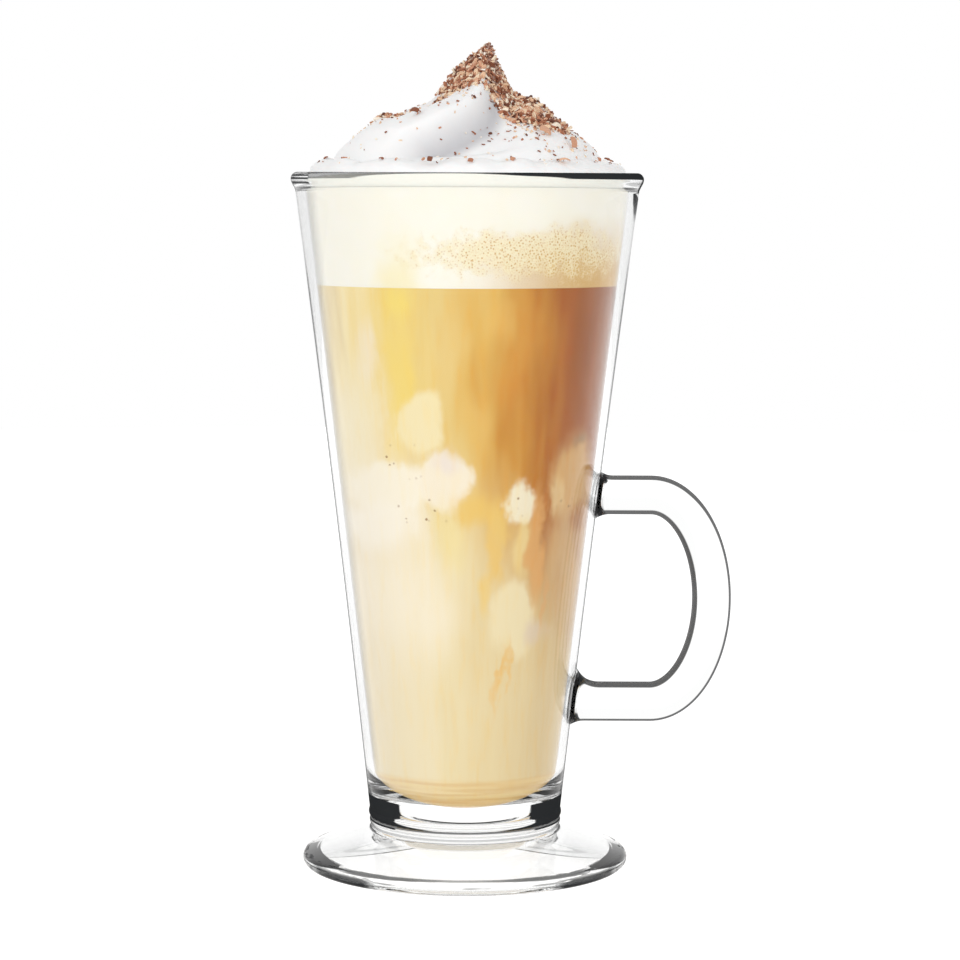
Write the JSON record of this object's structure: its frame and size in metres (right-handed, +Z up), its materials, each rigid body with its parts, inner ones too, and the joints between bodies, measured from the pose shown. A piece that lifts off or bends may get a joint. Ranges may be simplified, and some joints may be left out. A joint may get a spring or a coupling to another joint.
{
  "type": "latte macchiato glass",
  "caption": "Tall tapered glass cup on a round conical foot with a side loop handle, filled with layered milk coffee, foam, whipped cream and grated chocolate.",
  "frame": {"origin": "on the table, in the middle of the ground that the glass and its handle cover; the cup's own axis is 9.9 mm from it towards -X", "axes": "+Z up along the cup's axis, +X towards the handle, +Y across the handle's plane"},
  "size_m": [0.0959, 0.076, 0.1788],
  "materials": {
    "clear_glass": "polished clear pressed glass",
    "milk": "milk tinted by coffee, smooth",
    "coffee": "milk coffee, golden at one side and brown at the other",
    "foam": "fine milk foam with small bubbles",
    "cream": "soft whipped cream",
    "chocolate": "grated milk chocolate"
  },
  "bodies": {
    "root": {"glass_bowl": "clear_glass", "glass_foot": "clear_glass", "glass_handle": "clear_glass", "milk": "milk", "coffee": "coffee", "milk_foam": "foam", "cream_bed": "cream", "cream_swirl": "cream", "chocolate_crown": "chocolate", "chocolate_ridge": "chocolate", "shaving_1": "chocolate", "shaving_2": "chocolate", "shaving_3": "chocolate", "shaving_4": "chocolate", "shaving_5": "chocolate", "shaving_6": "chocolate", "shaving_7": "chocolate", "shaving_8": "chocolate", "shaving_9": "chocolate", "shaving_10": "chocolate", "shaving_11": "chocolate", "shaving_12": "chocolate", "shaving_13": "chocolate", "shaving_14": "chocolate", "shaving_15": "chocolate", "shaving_16": "chocolate"}
  },
  "joints": []
}
